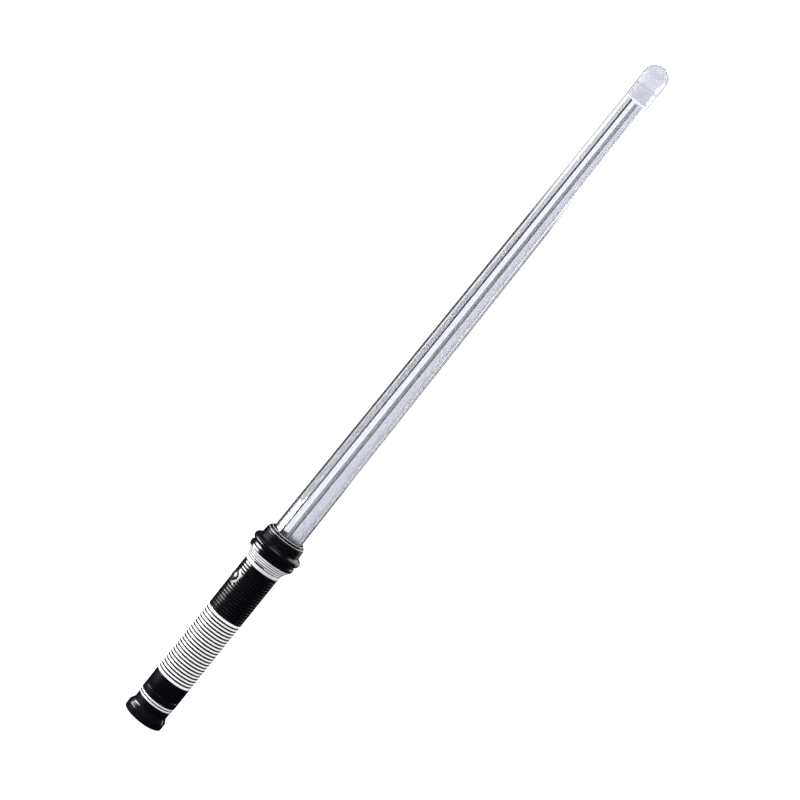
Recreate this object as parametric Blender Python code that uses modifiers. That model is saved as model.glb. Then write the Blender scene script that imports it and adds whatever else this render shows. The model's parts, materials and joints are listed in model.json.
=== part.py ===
"""Light-up toy sword: a ribbed battery handle, a flared emitter and a tapering clear blade.

Run with: blender --background --python part.py

+Z runs along the blade, the pommel's flat end is at z = 0, and the power button faces -Y.
The handle is a stack of sleeves on one core tube. Below, the pommel cap locks with a bayonet and
draws the battery cartridge out. Above, the blade plugs into a socket over the lamps.
"""

import math

import bmesh
import bpy
from mathutils import Matrix

# Every figure below is in millimetres or degrees. scaled() turns millimetres into Blender's metres.
MM = 0.001

# Driving dimensions
GAP = 0.3  # clearance between solids that touch on the real object
GRIP_RADIUS = 18.0
CORE_OUTER = 15.4
CORE_INNER = 13.9
TOTAL_HEIGHT = 741.8

# Heights at which the stacked outer pieces end; each begins GAP above the one before
POMMEL_TOP = 18.6
TRIM_TOP = 23.3
LOWER_BAND_TOP = 46.1
RIBBED_GRIP_TOP = 122.0
UPPER_GRIP_TOP = 175.6
COLLAR_TOP = 188.4
SHROUD_TOP = 210.4
BEZEL_TOP = 213.9

# Ribs of the pale grip, and the groove round the lower band
RIB_COUNT = 23
RIB_DEPTH = 0.8
BAND_GROOVE = 30.3

# The two windows in the collar, beside the button and opposite
WINDOW_LOW, WINDOW_HIGH = 179.0, 180.8
WINDOW_TURN = 45.0
WINDOW_HALF_ANGLE = 17.0

# Core, battery bay and electronics
CORE_FOOT = 5.0
CORE_TOP = 183.0
SLEEVE_BORE = CORE_OUTER + GAP
INNER_FIT = CORE_INNER - 0.4  # radius of what slides into the core
SOCKET_BORE = 17.5  # of the collar and the shroud, round the blade socket
COLLAR_STEP = CORE_TOP - 0.1  # where the collar's bore widens from the core to the socket
BULKHEAD_FOOT = 64.6
BULKHEAD_TOP = 67.6
CARRIER_FOOT = CORE_TOP - 12.0
LAMP_BOARD_FOOT = CORE_TOP - 5.7
LAMP_BOARD_TOP = LAMP_BOARD_FOOT + 1.2

# Battery cartridge, for three AAA cells
CELL_RADIUS = 5.15
CELL_RING_RADIUS = 6.7
CELL_BODY_LENGTH = 43.5
CELL_NUB_HEIGHT = 1.0
CELL_LOW = 13.2
CELL_HIGH = CELL_LOW + CELL_BODY_LENGTH + CELL_NUB_HEIGHT
CARTRIDGE_RADIUS = 12.1
CARTRIDGE_FOOT = 8.6
CARTRIDGE_TOP = 60.4
PLATE_THICKNESS = 1.8
LOWER_PLATE_FACE = CARTRIDGE_FOOT + PLATE_THICKNESS
UPPER_PLATE_FACE = CARTRIDGE_TOP - PLATE_THICKNESS
TERMINAL_THICKNESS = 0.6
TERMINAL_CROWN = 1.4

# Bayonet of the pommel cap
LUG_HALF_WIDTH = 2.3
LUG_LOW, LUG_HIGH = 14.0, 17.0
LUG_REACH = 15.1
SLOT_CLEARANCE = 0.5
LOCK_TURN = 40.0

# Button and its switch, measured outwards from the handle's axis
BUTTON_HEIGHT = 157.6
BUTTON_RADIUS = 4.7
BUTTON_FACE = 19.3
BOARD_FRONT = 4.6
BOARD_BACK = 3.4
BOARD_FOOT = BUTTON_HEIGHT - 12.1
BOARD_HEAD = BUTTON_HEIGHT + 12.1
SWITCH_BACK = BOARD_FRONT + GAP
SWITCH_FRONT = SWITCH_BACK + 3.3
SCREW_SPREAD = 9.8
SCREW_HOLE = 1.2
LEAD_RADIUS = 0.7
LEAD_OFFSET = 3.0  # from the middle, where each lead leaves a board
LEAD_DEPTH = 5.0

# Blade
BLADE_FOOT = CORE_TOP + 7.0
BLADE_TOP = 718.6
BLADE_FOOT_RADIUS = 15.3
BLADE_TOP_RADIUS = 11.1
BLADE_WALL = 1.0
BLADE_FIT = BLADE_FOOT_RADIUS + 0.35  # bore of what the blade plugs into
DIFFUSER_FOOT_RADIUS = 12.8
DIFFUSER_TOP_RADIUS = 8.1
DIFFUSER_WALL = 0.7
DIFFUSER_TOP = BLADE_TOP - 14.7
CAP_RADIUS = 11.5

# How finely round shapes are cut
RING_STEPS = 28
INNER_STEPS = 24
CELL_STEPS = 20
SMALL_STEPS = 16
SCREW_STEPS = 12
WIRE_STEPS = 2

PARTS = "light_up_sword"
CUTTERS = "cutters"


def scaled(*values):
    """Millimetres to metres."""
    return tuple(value * MM for value in values)


# ---------------------------------------------------------------- scene and materials


def clear_scene():
    for obj in list(bpy.data.objects):
        bpy.data.objects.remove(obj)


def new_collection(name):
    collection = bpy.data.collections.new(name)
    bpy.context.scene.collection.children.link(collection)
    return collection


def new_material(name, colour, roughness, metallic=0.0, alpha=1.0):
    material = bpy.data.materials.new(name)
    material.use_nodes = True
    shader = material.node_tree.nodes["Principled BSDF"]
    shader.inputs["Base Color"].default_value = (*colour, 1.0)
    shader.inputs["Roughness"].default_value = roughness
    shader.inputs["Metallic"].default_value = metallic
    shader.inputs["Alpha"].default_value = alpha
    return material


def make_materials():
    return {
        "black_plastic": new_material("black_plastic", (0.012, 0.012, 0.02), 0.3),
        "pale_grip": new_material("pale_grip", (0.8, 0.8, 0.8), 0.3),
        "bright_trim": new_material("bright_trim", (0.82, 0.84, 0.86), 0.12, metallic=1.0),
        "clear_tube": new_material("clear_tube", (0.9, 0.91, 0.97), 0.05, alpha=0.25),
        "frosted_tube": new_material("frosted_tube", (0.82, 0.82, 0.93), 0.5),
        "core_plastic": new_material("core_plastic", (0.05, 0.05, 0.055), 0.5),
        "inner_plastic": new_material("inner_plastic", (0.7, 0.7, 0.68), 0.5),
        "board": new_material("board", (0.02, 0.16, 0.06), 0.4),
        "lamp": new_material("lamp", (0.9, 0.92, 0.95), 0.1),
        "contact_metal": new_material("contact_metal", (0.75, 0.6, 0.3), 0.3, metallic=1.0),
        "steel": new_material("steel", (0.6, 0.6, 0.62), 0.3, metallic=1.0),
        "cell_wrap": new_material("cell_wrap", (0.1, 0.11, 0.13), 0.35),
        "red_wire": new_material("red_wire", (0.5, 0.02, 0.02), 0.45),
        "black_wire": new_material("black_wire", (0.02, 0.02, 0.02), 0.45),
    }


# ---------------------------------------------------------------- builders of shapes


class Bench:
    """Holds the collections and materials, and makes each named piece."""

    def __init__(self):
        self.parts = new_collection(PARTS)
        self.cutters = new_collection(CUTTERS)
        self.materials = make_materials()

    def add(self, name, data, material=None, body=None):
        """Links data as a finished piece, or as a cutter when it has no material."""
        obj = bpy.data.objects.new(name, data)
        if material is None:
            self.cutters.objects.link(obj)
            obj.hide_render = True
            obj.display_type = "WIRE"
            return obj
        self.parts.objects.link(obj)
        obj.data.materials.append(self.materials[material])
        obj.parent = body
        return obj

    def body(self, name, parent=None):
        """An empty that carries what moves together. It stands at the origin, on the hinge's axis."""
        empty = bpy.data.objects.new(name, None)
        self.parts.objects.link(empty)
        empty.parent = parent
        return empty

    def turned(self, name, outline, material=None, body=None, steps=RING_STEPS):
        """A solid turned about Z from (radius, height) points, which run up the inner side and down the
        outer side. An outline that starts on the axis ends there too, and any other closes on itself."""
        points = [scaled(radius, 0, height) for radius, height in outline]
        edges = [(i, i + 1) for i in range(len(points) - 1)]
        if outline[0][0] > 0:
            edges.append((len(points) - 1, 0))
        mesh = bpy.data.meshes.new(name)
        mesh.from_pydata(points, edges, [])
        obj = self.add(name, mesh, material, body)
        screw = obj.modifiers.new("turn", "SCREW")
        screw.steps = screw.render_steps = steps
        screw.use_merge_vertices = True
        screw.merge_threshold = 0.00001
        return obj

    def box(self, name, low, high, material=None, body=None):
        """A box between two corners."""
        size = [(b - a) * MM for a, b in zip(low, high)]
        centre = [(a + b) / 2 for a, b in zip(low, high)]
        shape = bmesh.new()
        bmesh.ops.create_cube(shape, size=1.0, matrix=Matrix.Diagonal((*size, 1.0)))
        mesh = bpy.data.meshes.new(name)
        shape.to_mesh(mesh)
        shape.free()
        obj = self.add(name, mesh, material, body)
        obj.location = scaled(*centre)
        return obj

    def sector(self, name, radii, angles, heights):
        """A cutter shaped like a piece of a ring, between two radii, angles and heights."""
        inner, outer = radii
        first, last = angles
        low, high = heights
        curve = bpy.data.curves.new(name, "CURVE")
        curve.dimensions = "2D"
        curve.fill_mode = "BOTH"
        curve.extrude = (high - low) / 2 * MM
        outline = arc((0, 0), outer, first, last, 6) + arc((0, 0), inner, last, first, 6)
        spline = curve.splines.new("POLY")
        spline.points.add(len(outline) - 1)
        for point, (x, y) in zip(spline.points, outline):
            point.co = (x * MM, y * MM, 0, 1)
        spline.use_cyclic_u = True
        obj = self.add(name, welded_mesh(name, curve))
        obj.location = scaled(0, 0, (low + high) / 2)
        return obj

    def wire(self, name, points, radius, material, body):
        """A round wire along points, with flat ends."""
        curve = bpy.data.curves.new(name, "CURVE")
        curve.dimensions = "3D"
        curve.bevel_depth = radius * MM
        curve.bevel_resolution = WIRE_STEPS
        curve.use_fill_caps = True
        spline = curve.splines.new("POLY")
        spline.points.add(len(points) - 1)
        for point, place in zip(spline.points, points):
            point.co = (*scaled(*place), 1)
        return self.add(name, curve, material, body)


def welded_mesh(name, curve):
    """The closed mesh of a filled curve, which a Boolean modifier can read."""
    source = bpy.data.objects.new(name + "_outline", curve)
    bpy.context.scene.collection.objects.link(source)
    bpy.context.view_layer.update()
    graph = bpy.context.evaluated_depsgraph_get()
    mesh = bpy.data.meshes.new_from_object(source.evaluated_get(graph))
    bpy.data.objects.remove(source)
    shape = bmesh.new()
    shape.from_mesh(mesh)
    bmesh.ops.remove_doubles(shape, verts=shape.verts, dist=0.00001)
    bmesh.ops.recalc_face_normals(shape, faces=shape.faces)
    shape.to_mesh(mesh)
    shape.free()
    return mesh


def combine(obj, operation, others):
    for other in others:
        modifier = obj.modifiers.new(other.name, "BOOLEAN")
        modifier.operation = operation
        modifier.object = other


def cut(obj, *cutters):
    combine(obj, "DIFFERENCE", cutters)


def join(obj, *others):
    combine(obj, "UNION", others)


def facing_button(obj, height):
    """Lays a piece made along +Z on its side, to point along -Y as the button does."""
    obj.rotation_euler = (math.radians(90), 0, 0)
    obj.location = scaled(0, 0, height)
    return obj


# ---------------------------------------------------------------- outlines and routes


def on_circle(radius, degrees):
    angle = math.radians(degrees)
    return radius * math.cos(angle), radius * math.sin(angle)


def arc(centre, radius, start, end, steps):
    """Points round a centre, from one angle to another."""
    points = []
    for i in range(steps + 1):
        x, y = on_circle(radius, start + (end - start) * i / steps)
        points.append((centre[0] + x, centre[1] + y))
    return points


def ring(inner, outer, low, high):
    """The outline of a plain ring."""
    return [(inner, low), (inner, high), (outer, high), (outer, low)]


def rod(radius, low, high):
    """The outline of a plain disc or rod."""
    return [(0, high), (radius, high), (radius, low), (0, low)]


def sleeve(low, high, outer, ease=0.3):
    """The outline of a sleeve on the core tube, with its two outer corners eased."""
    return [
        (SLEEVE_BORE, low),
        (SLEEVE_BORE, high),
        (outer - ease, high),
        (outer, high - ease),
        (outer, low + ease),
        (outer - ease, low),
    ]


def groove(radius, height, depth, mouth, floor):
    """A groove in an outer side, from the top down. mouth and floor are half its height there."""
    return [
        (radius, height + mouth),
        (radius - depth, height + floor),
        (radius - depth, height - floor),
        (radius, height - mouth),
    ]


def helix(radius, low, high, turns, points_per_turn=10):
    count = round(turns * points_per_turn)
    points = []
    for i in range(count + 1):
        x, y = on_circle(radius, 360 * turns * i / count)
        points.append((x, y, low + (high - low) * i / count))
    return points


def smooth(route, steps=3):
    """Points on the Catmull-Rom curve through a route."""
    points = []
    padded = [route[0], *route, route[-1]]
    for a, b, c, d in zip(padded, padded[1:], padded[2:], padded[3:]):
        for i in range(steps):
            points.append(tuple(catmull_rom(*values, i / steps) for values in zip(a, b, c, d)))
    points.append(route[-1])
    return points


def catmull_rom(a, b, c, d, t):
    bend = 2 * a - 5 * b + 4 * c - d
    twist = 3 * b - a - 3 * c + d
    return 0.5 * (2 * b + (c - a) * t + bend * t**2 + twist * t**3)


# ---------------------------------------------------------------- pommel cap and its bayonet


def make_pommel(bench, body):
    shell_bore, spigot_outer, spigot_bore = 15.9, 13.5, 12.5
    floor, spigot_top = 3.0, 20.5
    neck, flare = 17.4, 19.8
    cap = bench.turned(
        "pommel_cap",
        [
            (0, floor),
            (spigot_bore, floor),
            (spigot_bore, spigot_top),
            (spigot_outer, spigot_top),
            (spigot_outer, floor),
            (shell_bore, floor),
            (shell_bore, POMMEL_TOP),
            (neck, POMMEL_TOP),
            (neck, 12.1),
            (neck + 0.4, 10.5),
            (neck + 1.3, 8.7),
            (flare - 0.2, 7.2),
            (flare, 6.4),
            (flare, 0.7),
            (flare - 0.2, 0.2),
            (flare - 0.7, 0),
            (0, 0),
        ],
        "black_plastic",
        body,
    )
    for word, side in (("left", -1), ("right", 1)):
        root, reach = sorted((side * (spigot_outer - 0.5), side * LUG_REACH))
        low, high = (root, -LUG_HALF_WIDTH, LUG_LOW), (reach, LUG_HALF_WIDTH, LUG_HIGH)
        join(cap, bench.box(f"lug_{word}", low, high))
    wire = 0.5
    coil = helix(6.0, floor + wire + 0.4, CARTRIDGE_FOOT - wire - 0.4, turns=2.5)
    bench.wire("pommel_spring", coil, wire, "steel", body)


def bayonet_slot(bench, word, middle):
    """The L-shaped opening that a lug enters from below and then turns in."""
    half = math.degrees(LUG_HALF_WIDTH / CORE_INNER) + 2.5
    radii = (CORE_INNER - 1, CORE_OUTER + 1)
    ceiling = LUG_HIGH + SLOT_CLEARANCE
    entry_angles, entry_heights = (middle - half, middle + half), (CORE_FOOT - 1, ceiling)
    turn_angles = (middle - half, middle + half + LOCK_TURN)
    turn_heights = (LUG_LOW - SLOT_CLEARANCE, ceiling + 0.01)
    entry = bench.sector(f"slot_entry_{word}", radii, entry_angles, entry_heights)
    turn = bench.sector(f"slot_turn_{word}", radii, turn_angles, turn_heights)
    return entry, turn


# ---------------------------------------------------------------- battery cartridge


def make_cartridge(bench, body):
    """Two round plates on three posts, with a cell between each post and the next."""
    lower_plate = rod(CARTRIDGE_RADIUS, CARTRIDGE_FOOT, LOWER_PLATE_FACE)
    upper_plate = rod(CARTRIDGE_RADIUS, UPPER_PLATE_FACE, CARTRIDGE_TOP)
    frame = bench.turned("cartridge_frame", lower_plate, "core_plastic", body, INNER_STEPS)
    join(frame, bench.turned("upper_plate", upper_plate, steps=INNER_STEPS))
    post_outline = rod(1.7, LOWER_PLATE_FACE - 1, UPPER_PLATE_FACE + 1)
    for i in range(3):
        post = bench.turned(f"post_{i + 1}", post_outline, steps=SCREW_STEPS)
        post.location = scaled(*on_circle(9.9, 30 + 120 * i), 0)
        join(frame, post)
        make_cell(bench, body, i)
    low = CARTRIDGE_TOP + GAP
    flat, crown = low + TERMINAL_THICKNESS, low + TERMINAL_CROWN
    centre_outline = [(0, crown), (2.0, crown), (2.2, flat), (3.4, flat), (3.4, low), (0, low)]
    bench.turned("centre_terminal", centre_outline, "contact_metal", body, SMALL_STEPS)
    bench.turned("ring_terminal", ring(8.0, 10.6, low, flat), "contact_metal", body, INNER_STEPS)


def make_cell(bench, body, index):
    """One AAA cell and its spring. The second stands on its head, as cells in series do."""
    nub, wire = 1.9, 0.35
    if index == 1:
        low = LOWER_PLATE_FACE + 0.5
        shoulder = low + CELL_NUB_HEIGHT
        high = shoulder + CELL_BODY_LENGTH
        body_end, nub_end = high, low
        spring_low, spring_high = high, UPPER_PLATE_FACE
    else:
        low, high = CELL_LOW, CELL_HIGH
        shoulder = high - CELL_NUB_HEIGHT
        body_end, nub_end = low, high
        spring_low, spring_high = LOWER_PLATE_FACE, low
    outline = [
        (0, body_end),
        (CELL_RADIUS, body_end),
        (CELL_RADIUS, shoulder),
        (nub, shoulder),
        (nub, nub_end),
        (0, nub_end),
    ]
    if nub_end == high:
        outline.reverse()
    place = scaled(*on_circle(CELL_RING_RADIUS, 90 + 120 * index), 0)
    cell = bench.turned(f"cell_{index + 1}", outline, "cell_wrap", body, CELL_STEPS)
    coil = helix(3.2, spring_low + wire + GAP, spring_high - wire - GAP, turns=1.5)
    spring = bench.wire(f"cell_spring_{index + 1}", coil, wire, "steel", body)
    cell.location = spring.location = place


# ---------------------------------------------------------------- handle


def make_core(bench, body):
    tube = ring(CORE_INNER, CORE_OUTER, CORE_FOOT, CORE_TOP)
    core = bench.turned("core_tube", tube, "core_plastic", body)
    cut(core, *bayonet_slot(bench, "right", 0), *bayonet_slot(bench, "left", 180))
    hole = bench.turned("core_button_hole", rod(BUTTON_RADIUS + GAP, 10, 22), steps=INNER_STEPS)
    cut(core, facing_button(hole, BUTTON_HEIGHT))
    liner = ring(CARTRIDGE_RADIUS + 0.4, INNER_FIT, 21.0, BULKHEAD_FOOT - 1.2)
    bench.turned("battery_sleeve", liner, "inner_plastic", body, INNER_STEPS)


def make_sleeves(bench, body):
    make_trim_ring(bench, body)
    outline = sleeve(TRIM_TOP + GAP, LOWER_BAND_TOP, GRIP_RADIUS)
    outline[4:4] = groove(GRIP_RADIUS, BAND_GROOVE, depth=0.5, mouth=0.5, floor=0.4)
    bench.turned("lower_band", outline, "black_plastic", body)
    bench.turned("ribbed_grip", ribbed_outline(), "pale_grip", body)
    outline = sleeve(RIBBED_GRIP_TOP + GAP, UPPER_GRIP_TOP, GRIP_RADIUS)
    upper = bench.turned("upper_grip", outline, "black_plastic", body)
    hole = bench.turned("grip_button_hole", rod(BUTTON_RADIUS + GAP, 12, 24), steps=INNER_STEPS)
    cut(upper, facing_button(hole, BUTTON_HEIGHT))


def make_trim_ring(bench, body):
    """A bright ring with a groove round its middle."""
    low, high, crest = POMMEL_TOP + GAP, TRIM_TOP, 17.8
    outline = sleeve(low, high, crest)
    outline[4:4] = groove(crest, (low + high) / 2, depth=0.6, mouth=0.6, floor=0.3)
    bench.turned("trim_ring", outline, "bright_trim", body)


def ribbed_outline():
    """A sleeve whose outer side is a row of ribs with a groove between each and the next."""
    low, high = LOWER_BAND_TOP + GAP, RIBBED_GRIP_TOP
    pitch = (high - low) / RIB_COUNT
    outline = [(SLEEVE_BORE, low), (SLEEVE_BORE, high), (GRIP_RADIUS, high)]
    for i in range(RIB_COUNT - 1):
        groove = high - (i + 1) * pitch
        outline += [
            (GRIP_RADIUS - RIB_DEPTH, groove),
            (GRIP_RADIUS, groove - pitch / 2),
        ]
    return outline + [(GRIP_RADIUS, low)]


def make_collar(bench, body):
    """A trumpet whose radius grows with the square of the height, held by two windows."""
    low, high = UPPER_GRIP_TOP + GAP, COLLAR_TOP
    waist, mouth = GRIP_RADIUS, 23.3
    flare_low, flare_high, flare_steps = low + 1.2, high - 0.4, 6
    flare = []
    for i in range(flare_steps + 1):
        share = 1 - i / flare_steps
        radius = waist + (mouth - waist) * share**2
        flare.append((radius, flare_low + (flare_high - flare_low) * share))
    collar = bench.turned(
        "collar",
        [
            (SLEEVE_BORE, low),
            (SLEEVE_BORE, COLLAR_STEP),
            (SOCKET_BORE, COLLAR_STEP),
            (SOCKET_BORE, high),
            (mouth - 0.2, high),
            *flare,
            (waist, low),
        ],
        "bright_trim",
        body,
    )
    radii = (SLEEVE_BORE - 1, mouth)
    for word, turn in (("front", WINDOW_TURN - 90), ("back", WINDOW_TURN + 90)):
        angles = (turn - WINDOW_HALF_ANGLE, turn + WINDOW_HALF_ANGLE)
        window = bench.sector(f"collar_window_{word}", radii, angles, (WINDOW_LOW, WINDOW_HIGH))
        cut(collar, window)


def make_emitter(bench, body):
    """From the bottom: a flange, a notch, a round bead and a shoulder that narrows a little."""
    low, ease = COLLAR_TOP + GAP, 0.3
    flange, flange_top = 23.4, 191.7
    notch, notch_top = 22.5, 193.9
    bead = arc((21.5, 197.8), 3.25, 70, -72, 6)
    shoulder_low, shoulder_high = 20.5, 19.8
    bench.turned(
        "emitter_shroud",
        [
            (SOCKET_BORE, low),
            (SOCKET_BORE, SHROUD_TOP),
            (shoulder_high - 0.4, SHROUD_TOP),
            (shoulder_high, SHROUD_TOP - 0.5),
            (shoulder_low, 201.6),
            *bead,
            (notch, notch_top),
            (notch, flange_top + 0.4),
            (flange - ease, flange_top),
            (flange, flange_top - 0.4),
            (flange, low + ease),
            (flange - ease, low),
        ],
        "black_plastic",
        body,
    )


def make_bezel(bench, body):
    """The ring round the blade's foot, which narrows towards the blade in even steps."""
    low, step_count, ease = SHROUD_TOP + GAP, 3, 0.3
    widest, narrowest = 19.3, 17.1
    rise, run = (BEZEL_TOP - low) / step_count, (widest - narrowest) / (step_count - 1)
    outline = [(BLADE_FIT, low), (BLADE_FIT, BEZEL_TOP)]
    for i in range(step_count):
        radius, top = narrowest + i * run, BEZEL_TOP - i * rise
        outline += [(radius - ease, top), (radius, top - ease), (radius, top - rise)]
    bench.turned("front_bezel", outline, "black_plastic", body)


def make_socket(bench, body):
    """The cup that takes the blade, and the lamp carrier that two screws through its floor hold up."""
    low, floor, seat = CORE_TOP + GAP, CORE_TOP + 3.3, BLADE_FOOT - GAP
    lamp_hole, screw_room, outer = 9.6, 14.7, SOCKET_BORE - GAP
    socket = bench.turned(
        "blade_socket",
        [
            (lamp_hole, low),
            (lamp_hole, floor),
            (screw_room, floor),
            (screw_room, seat),
            (BLADE_FIT, seat),
            (BLADE_FIT, SHROUD_TOP),
            (outer, SHROUD_TOP),
            (outer, low),
        ],
        "core_plastic",
        body,
    )
    well, well_floor = 9.8, LAMP_BOARD_FOOT - GAP
    carrier = bench.turned(
        "lamp_carrier",
        [
            (0, well_floor),
            (well, well_floor),
            (well, CORE_TOP),
            (INNER_FIT, CORE_TOP),
            (INNER_FIT, CARRIER_FOOT),
            (0, CARRIER_FOOT),
        ],
        "inner_plastic",
        body,
        INNER_STEPS,
    )
    hole = rod(SCREW_HOLE, low - 1, floor + 1)
    pilot_hole = rod(SCREW_HOLE, CORE_TOP - 9, CORE_TOP + 1)
    shape = screw_outline(floor + GAP, CORE_TOP - 8)
    lead_hole = rod(LEAD_RADIUS + 0.6, CARRIER_FOOT - 1, well_floor + 1)
    for word, side in (("left", -1), ("right", 1)):
        through = bench.turned(f"socket_hole_{word}", hole, steps=SCREW_STEPS)
        pilot = bench.turned(f"carrier_pilot_{word}", pilot_hole, steps=SCREW_STEPS)
        screw = bench.turned(f"socket_screw_{word}", shape, "steel", body, SCREW_STEPS)
        through.location = pilot.location = screw.location = scaled(side * 11.9, 0, 0)
        cut(socket, through)
        lead_way = bench.turned(f"lead_way_{word}", lead_hole, steps=SCREW_STEPS)
        lead_way.location = scaled(side * LEAD_OFFSET, -LEAD_DEPTH, 0)
        cut(carrier, pilot, lead_way)


def screw_outline(head, tip):
    """A pan-head screw from the underside of its head down to its tip."""
    shank, rim, height = 0.9, 1.8, 1.3
    return [
        (0, head + height),
        (rim - 0.3, head + height),
        (rim, head + height - 0.4),
        (rim, head),
        (shank, head),
        (shank, tip + 0.7),
        (0, tip),
    ]


# ---------------------------------------------------------------- electronics


def make_contacts(bench, body):
    """The fixed contacts hang from the bulkhead and stop just short of the cartridge's own."""
    bulkhead = rod(INNER_FIT, BULKHEAD_FOOT, BULKHEAD_TOP)
    bench.turned("contact_bulkhead", bulkhead, "inner_plastic", body, INNER_STEPS)
    high = BULKHEAD_FOOT - GAP
    centre = rod(3.0, CARTRIDGE_TOP + TERMINAL_CROWN + 2 * GAP, high)
    outer = ring(8.2, 10.4, CARTRIDGE_TOP + TERMINAL_THICKNESS + 2 * GAP, high)
    bench.turned("centre_contact", centre, "contact_metal", body, SMALL_STEPS)
    bench.turned("ring_contact", outer, "contact_metal", body, INNER_STEPS)


def make_boards(bench, body):
    """The chassis plate stands along the axis, and carries the switch board on two posts."""
    chassis_half, chassis_thickness, board_half = 13.2, 1.8, 7.0
    low = (-chassis_half, 0, BULKHEAD_TOP + GAP)
    high = (chassis_half, chassis_thickness, CARRIER_FOOT - GAP)
    chassis = bench.box("chassis", low, high, "inner_plastic", body)
    low, high = (-board_half, -BOARD_FRONT, BOARD_FOOT), (board_half, -BOARD_BACK, BOARD_HEAD)
    board = bench.box("switch_board", low, high, "board", body)
    post_shape = rod(2.4, -0.5, BOARD_BACK - GAP)
    pilot_shape = rod(SCREW_HOLE, 0.6, BOARD_BACK + 1)
    hole_shape = rod(SCREW_HOLE, BOARD_BACK - 1, BOARD_FRONT + 1)
    screw_shape = screw_outline(BOARD_FRONT + GAP, 0.9)
    for word, offset in (("lower", -SCREW_SPREAD), ("upper", SCREW_SPREAD)):
        post = bench.turned(f"post_{word}", post_shape, steps=SCREW_STEPS)
        pilot = bench.turned(f"post_pilot_{word}", pilot_shape, steps=SCREW_STEPS)
        through = bench.turned(f"board_hole_{word}", hole_shape, steps=SCREW_STEPS)
        screw = bench.turned(f"board_screw_{word}", screw_shape, "steel", body, SCREW_STEPS)
        for piece in (post, pilot, through, screw):
            facing_button(piece, BUTTON_HEIGHT + offset)
        join(chassis, post)
        cut(chassis, pilot)
        cut(board, through)
    half = 3.0
    low, high = (-half, -SWITCH_FRONT, BUTTON_HEIGHT - half), (half, -SWITCH_BACK, BUTTON_HEIGHT + half)
    switch = bench.box("switch_body", low, high, "core_plastic", body)
    well = bench.turned("switch_well", rod(2.1, SWITCH_BACK + 1.5, SWITCH_FRONT + 1), steps=SMALL_STEPS)
    cut(switch, facing_button(well, BUTTON_HEIGHT))


def make_lamps(bench, body):
    bench.turned("lamp_board", rod(9.4, LAMP_BOARD_FOOT, LAMP_BOARD_TOP), "board", body, INNER_STEPS)
    low = LAMP_BOARD_TOP + GAP
    radius, rim, shoulder = 2.5, 2.9, low + 6.0
    outline = [
        (0, shoulder + radius),
        *arc((0, shoulder), radius, 90, 0, 4)[1:],
        (radius, low + 1),
        (rim, low + 1),
        (rim, low),
        (0, low),
    ]
    for i in range(3):
        lamp = bench.turned(f"lamp_{i + 1}", outline, "lamp", body, SMALL_STEPS)
        lamp.location = scaled(*on_circle(4.2, 90 + 120 * i), 0)
    top, outer = CORE_TOP + 6.0, 9.3
    mirror = [(7.6, low), (outer - 0.6, top), (outer, top), (outer, low)]
    bench.turned("reflector", mirror, "bright_trim", body, INNER_STEPS)


def make_wires(bench, body):
    """Four short leads: from the contacts to the switch board, and from the board to the lamps."""
    for word, side, material in (("positive", 1, "red_wire"), ("negative", -1, "black_wire")):
        from_contacts = [
            (side * LEAD_OFFSET, -3.0, BULKHEAD_TOP + GAP),
            (side * 3.2, -3.4, 76),
            (side * 6.0, -6.5, 98),
            (side * 5.5, -6.0, 122),
            (side * 4.0, -4.0, 138),
            (side * 4.0, -4.0, BOARD_FOOT - GAP),
        ]
        bench.wire(f"battery_wire_{word}", smooth(from_contacts), LEAD_RADIUS, material, body)
        to_lamps = [
            (side * LEAD_OFFSET, -4.2, BOARD_HEAD + GAP),
            (side * LEAD_OFFSET, -4.8, BOARD_HEAD + 2.3),
            (side * LEAD_OFFSET, -LEAD_DEPTH, BOARD_HEAD + 4.3),
            (side * LEAD_OFFSET, -LEAD_DEPTH, LAMP_BOARD_FOOT - GAP),
        ]
        bench.wire(f"lamp_wire_{word}", to_lamps, LEAD_RADIUS, material, body)


# ---------------------------------------------------------------- power button


def make_button(bench, body):
    """Both pieces are outlined from the handle's axis outwards. A flange behind the core's wall keeps
    the button in, and the stem behind it reaches for the switch."""
    flange, flange_front, flange_back = 5.9, 12.2, 11.2
    crown = 9.4
    face = arc((0, BUTTON_FACE - crown), crown, 90, 64, 4)
    button = bench.turned(
        "power_button",
        [
            (0, BUTTON_FACE),
            *face[1:],
            (BUTTON_RADIUS, BUTTON_FACE - 1.5),
            (BUTTON_RADIUS, flange_front),
            (flange, flange_front),
            (flange, flange_back),
            (0, flange_back),
        ],
        "black_plastic",
        body,
        INNER_STEPS,
    )
    facing_button(button, BUTTON_HEIGHT)
    stem_shape = rod(1.7, SWITCH_FRONT + 0.2, flange_back - GAP)
    stem = bench.turned("switch_stem", stem_shape, "inner_plastic", body, SMALL_STEPS)
    facing_button(stem, BUTTON_HEIGHT)


# ---------------------------------------------------------------- blade


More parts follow.
